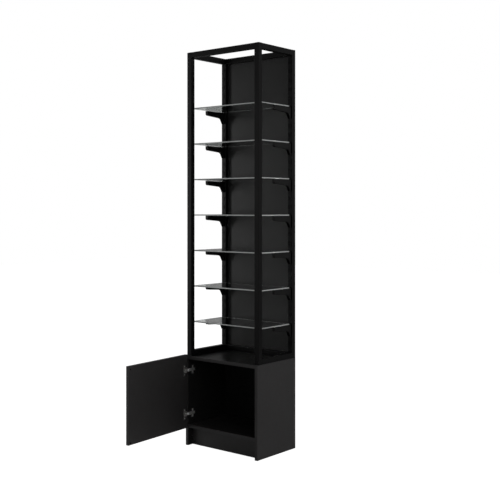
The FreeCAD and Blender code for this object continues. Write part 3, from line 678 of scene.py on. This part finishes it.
def dowelShape():
    # a rod with flutes along it
    radius, flutes = dowel["radius"], dowel["flutes"]
    mesh = chamferedRod(radius, dowel["long"], dowel["chamfer"], flutes * 2)
    shrink = 1 - dowel["groove"] / radius
    for vert in mesh.verts:
        spoke = round(math.atan2(vert.co.y, vert.co.x) / math.pi * flutes)
        if vert.co.xy.length > radius / 2 and spoke % 2:
            vert.co.xy *= shrink
    return mesh


rivetNut = {"radius": 0.0045, "tall": 0.007, "bore": 0.00285, "flange": 0.0008, "fillet": 0.0002,
            "barrel": 0.0041, "bulge": 0.0003, "bulgeFrom": 0.0032, "bulgeTo": 0.0050,
            "bulgeSlope": 0.0004, "threadInset": 0.0004, "pitch": 0.0008, "depth": 0.0003,
            "steps": 24}


def rivetNutShape():
    # a flanged sleeve with a thread inside, bulged where it grips the tube
    look = rivetNut
    bore, barrel, tall, flange = look["bore"], look["barrel"], look["tall"], look["flange"]
    bulge, slope = barrel + look["bulge"], look["bulgeSlope"]
    profile = [(bore, 0), (look["radius"], 0), (look["radius"], -flange),
               (barrel, -flange - look["fillet"]), (barrel, -look["bulgeFrom"]),
               (bulge, -look["bulgeFrom"] - slope), (bulge, -look["bulgeTo"] + slope),
               (barrel, -look["bulgeTo"]), (barrel, -tall), (bore, -tall)]
    profile += threadLine(bore, -tall + look["threadInset"], -look["threadInset"],
                          look["pitch"], look["depth"])
    return turned(profile + profile[:1], look["steps"])


shelfPad = {"radius": 0.005, "thick": 0.0015, "round": 0.0004}
bumper = {"radius": 0.004, "thick": 0.0022, "round": 0.0007}
disc = {"arcSteps": 6, "steps": 28}


def roundedDisc(look):
    radius, thick, edge = look["radius"], look["thick"], look["round"]
    quarter = [math.pi / 2 * step / disc["arcSteps"] for step in range(disc["arcSteps"] + 1)]
    corner = [(radius - edge + edge * math.sin(turn), edge * math.cos(turn) - edge)
              for turn in quarter]
    lower = [(out, -thick - height) for out, height in reversed(corner)]
    return turned([(0, 0)] + corner + lower + [(0, -thick)], disc["steps"])


hingePin = {"radius": 0.0012, "long": 0.0126, "chamfer": 0.0003, "steps": 20}
inward = doorFacing()
makeFittings("panel_screws", screwShape(smallScrew), "nickelPlate", (0, 1, 0))
makeFittings("cup_screws", screwShape(cupScrew), "nickelPlate",
             lambda points: inward, "door")
makeFittings("plate_screws", screwShape(plateScrew), "nickelPlate", (1, 0, 0))
makeFittings("frame_bolts", screwShape(frameBolt), "nickelPlate", (0, 0, -1))
makeFittings("rivet_nuts", rivetNutShape(), "nickelPlate", (0, 0, -1))
makeFittings("cam_locks", camShape(), "castZinc", (0, 0, -1))
makeFittings("cam_bolts", camBoltShape(), "nickelPlate", outwardX)
makeFittings("dowels", dowelShape(), "beechDowel", (1, 0, 0))
makeFittings("shelf_pads", roundedDisc(shelfPad), "clearVinyl", (0, 0, 1))
makeFittings("door_bumpers", roundedDisc(bumper), "feltBlack",
             lambda points: inward, "door")
makeFittings("hinge_pins", chamferedRod(**hingePin), "nickelPlate",
             (0, 0, 1), "door")
print("fasteners and pads made")


postCap = {"eased": 0.0006, "inset": 0.004, "dish": 0.0004, "dishSlope": 2, "shortest": 0.0015,
           "upward": 0.9}


def makeCaps():
    # an insert with a shallow dish for each post
    total = bmesh.new()
    for points in islandsOf("post_caps"):
        low = Vector([min(point[axis] for point in points) for axis in range(3)])
        high = Vector([max(point[axis] for point in points) for axis in range(3)])
        cap = bmesh.ops.create_cube(total, size=1)["verts"]
        bmesh.ops.scale(total, verts=cap, vec=high - low)
        bmesh.ops.translate(total, verts=cap, vec=(low + high) / 2)
    tops = [face for face in total.faces if face.normal.z > postCap["upward"]]
    dish = postCap["dish"]
    bmesh.ops.inset_individual(total, faces=tops, thickness=postCap["inset"], depth=0)
    bmesh.ops.inset_individual(total, faces=tops, thickness=dish * postCap["dishSlope"],
                               depth=-dish)
    easeEdges(total, cornerEdges(total, postCap["shortest"]), postCap["eased"])
    addPiece("post_caps", total, "plasticBlack")


def makeEasedCopy(nodeName, finish, slotName, body, width, shortest):
    mesh = copyOfNode(nodeName)
    easeEdges(mesh, cornerEdges(mesh, shortest), width)
    addPiece(nodeName, mesh, finish, body)


# finish, slot, body, width of the eased edges, shortest edge that is eased
sheetParts = {
    "panel_tabs": ("powderBlack", "frame_steel", "showcase", 0.0003, 0.01),
    "hinge_plate_lower": ("nickelPlate", "plated_steel", "showcase", 0.0003, 0.004),
    "hinge_plate_upper": ("nickelPlate", "plated_steel", "showcase", 0.0003, 0.004),
}
# painted shade: the cups take the dark steel
hingeCups = {
    "hinge_cup_lower": ("pressedSteelPaintedShade", "plated_steel", "door", 0.0002, 0.004),
    "hinge_cup_upper": ("pressedSteelPaintedShade", "plated_steel", "door", 0.0002, 0.004),
}


hingeArm = {
    "nodes": ("hinge_arm_lower", "hinge_arm_upper"), "easedBy": 0.0003, "shortest": 0.004,
    "linkHalf": 0.0070, "linkSheet": 0.0022, "linkReach": 0.0130, "linkFrom": 0.004,
    "linkProud": 0.0003, "linkRound": 0.0010, "linkSteps": 3,
    # the adjusting screws: places along the arm, sizes, then shares of the radius or height
    "adjusters": (0.018, 0.032), "radius": 0.0030, "tall": 0.0012, "flat": 0.8,
    "shoulder": 0.4, "cross": 0.6, "deep": 0.6, "proud": 0.7, "twist": 50,
}


def addLink(mesh, low, high, level):
    # the wider link beside the cup
    sheet, reach = hingeArm["linkSheet"], hingeArm["linkReach"]
    link = bmesh.ops.create_cube(mesh, size=1)["verts"]
    bmesh.ops.scale(mesh, verts=link, vec=(sheet, reach, hingeArm["linkHalf"] * 2))
    middle = (high.x - sheet / 2 + hingeArm["linkProud"],
              low.y + hingeArm["linkFrom"] + reach / 2, level)
    bmesh.ops.translate(mesh, verts=link, vec=middle)
    # the link's faces take the arm's second finish, a painted highlight
    for vert in link:
        for face in vert.link_faces:
            face.material_index = 1
    edges = list(dict.fromkeys(edge for vert in link for edge in vert.link_edges))
    easeEdges(mesh, edges, hingeArm["linkRound"], hingeArm["linkSteps"])


def adjusterShape():
    # a low screw head with a cross in it
    radius, tall = hingeArm["radius"], hingeArm["tall"]
    head = turned([(0, 0), (radius * hingeArm["flat"], 0), (radius, -tall * hingeArm["shoulder"]),
                   (radius, -tall), (0, -tall)])
    return sinkRecess(head, "cross", radius * hingeArm["cross"], tall * hingeArm["deep"])


def makeArm(nodeName):
    # the arm, its link, and two adjusting screws
    low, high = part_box(nodeName)
    level = (low.z + high.z) / 2
    mesh = copyOfNode(nodeName)
    easeEdges(mesh, cornerEdges(mesh, hingeArm["shortest"]), hingeArm["easedBy"])
    addLink(mesh, low, high, level)
    template = templateOf(adjusterShape())
    for along in hingeArm["adjusters"]:
        top = Vector((high.x + hingeArm["tall"] * hingeArm["proud"], low.y + along, level))
        placeAt(mesh, template, top, Vector((1, 0, 0)), along * hingeArm["twist"])
    bpy.data.meshes.remove(template)
    piece = addPiece(nodeName, mesh, "nickelPlate",
                     sharpTurn=fittings["sharpTurn"])
    # painted highlight: the second finish, for the link
    piece.data.materials.append(finishes["satinZincPaintedHighlight"])


makeCaps()
for nodeName, settings in sheetParts.items():
    makeEasedCopy(nodeName, *settings)
for nodeName in hingeArm["nodes"]:
    makeArm(nodeName)
for nodeName, settings in hingeCups.items():
    makeEasedCopy(nodeName, *settings)
print("caps and hinges made")


studio = {
    "floorHalf": 14.0, "floorDrop": 0.0005, "floorTone": 0.5, "floorRough": 0.9,
    "floorSeen": 1.0, "floorLight": 0.01, "skySeen": 1.0, "skyLow": 0.03,
    # soft boxes in the sky: towards, cosine where it begins, cosine where it is full, strength
    "softBoxes": (((1.0, -0.05, 0.1), 0.35, 0.97, 0.85), ((-0.627, -0.78, 0.0), 0.5, 0.95, 0.20),
                  ((-0.627, 0.78, 0.17), 0.5, 0.95, 0.07), ((-0.2, 1.0, 0.1), 0.6, 0.97, 0.12)),
    "keyPlace": (-2.3, -1.15, 1.45), "keyWide": 0.25, "keyTall": 1.9, "keyPower": 15.5,
    "aim": (0.0, 0.0, 1.45),
    "cameraPlace": (3.10266, -3.86361, 1.319), "cameraTurn": 41.85,
    "sensor": 36.0, "lens": 65.16, "shiftX": 0.1455, "shiftY": -0.0808,
    "nearest": 0.05, "farthest": 100.0,
}


def seenRays(tree, seen, unseen):
    # the backdrop is white where it is looked at, also through glass, and dimmer as a light
    rays = tree.nodes.new("ShaderNodeLightPath")
    looked = mathNode(tree, "MAXIMUM", rays.outputs["Is Camera Ray"],
                      rays.outputs["Is Transmission Ray"])
    # inputs 0, 2 and 3 are the factor and the two numbers that it mixes
    share = addNode(tree, "ShaderNodeMix", {"data_type": "FLOAT"})
    for place, value in ((0, looked), (2, unseen), (3, seen)):
        feed(tree, share.inputs[place], value)
    return share.outputs[0]


def makeFloor():
    mesh = bmesh.new()
    bmesh.ops.create_grid(mesh, x_segments=1, y_segments=1, size=studio["floorHalf"])
    bmesh.ops.translate(mesh, verts=mesh.verts[:], vec=(0, 0, -studio["floorDrop"]))
    data = bpy.data.meshes.new("studioFloor")
    mesh.to_mesh(data)
    mesh.free()
    floor = bpy.data.objects.new("studioFloor", data)
    bpy.context.scene.collection.objects.link(floor)
    material, tree, shader = blankMaterial("paleFloor")
    tone = studio["floorTone"]
    shader.inputs["Base Color"].default_value = (tone, tone, tone, 1)
    shader.inputs["Roughness"].default_value = studio["floorRough"]
    shader.inputs["Emission Color"].default_value = (1, 1, 1, 1)
    feed(tree, shader.inputs["Emission Strength"],
         seenRays(tree, studio["floorSeen"], studio["floorLight"]))
    data.materials.append(material)


def makeSky():
    world = bpy.data.worlds.new("studioSky")
    bpy.context.scene.world = world
    world.use_nodes = True
    tree = world.node_tree
    place = tree.nodes.new("ShaderNodeTexCoord")
    light = studio["skyLow"]
    for towards, starts, full, strength in studio["softBoxes"]:
        facing = addNode(tree, "ShaderNodeVectorMath", {"operation": "DOT_PRODUCT"})
        feed(tree, facing.inputs[0], place.outputs["Generated"])
        facing.inputs[1].default_value = Vector(towards).normalized()
        box = addNode(tree, "ShaderNodeMapRange", {"interpolation_type": "SMOOTHSTEP"},
                      Value=facing.outputs["Value"], From_Min=starts, From_Max=full,
                      To_Min=0.0, To_Max=strength)
        light = mathNode(tree, "ADD", box.outputs["Result"], light)
    backdrop = tree.nodes["Background"]
    backdrop.inputs["Color"].default_value = (1, 1, 1, 1)
    feed(tree, backdrop.inputs["Strength"], seenRays(tree, studio["skySeen"], light))


def makeKeyLight():
    light = bpy.data.lights.new("keyLight", "AREA")
    light.shape = "RECTANGLE"
    light.size = studio["keyWide"]
    light.size_y = studio["keyTall"]
    light.energy = studio["keyPower"]
    lamp = bpy.data.objects.new("keyLight", light)
    bpy.context.scene.collection.objects.link(lamp)
    lamp.location = studio["keyPlace"]
    towards = Vector(studio["aim"]) - Vector(studio["keyPlace"])
    lamp.rotation_euler = towards.to_track_quat("-Z", "Y").to_euler()


def makeCamera():
    data = bpy.data.cameras.new("studioCamera")
    data.lens = studio["lens"]
    data.sensor_width = studio["sensor"]
    data.shift_x = studio["shiftX"]
    data.shift_y = studio["shiftY"]
    data.clip_start = studio["nearest"]
    data.clip_end = studio["farthest"]
    camera = bpy.data.objects.new("studioCamera", data)
    bpy.context.scene.collection.objects.link(camera)
    camera.location = studio["cameraPlace"]
    camera.rotation_euler = (math.radians(90), 0, math.radians(studio["cameraTurn"]))
    bpy.context.scene.camera = camera


makeFloor()
makeSky()
makeKeyLight()
makeCamera()
bpy.context.scene.view_settings.view_transform = "Standard"
print("studio made")
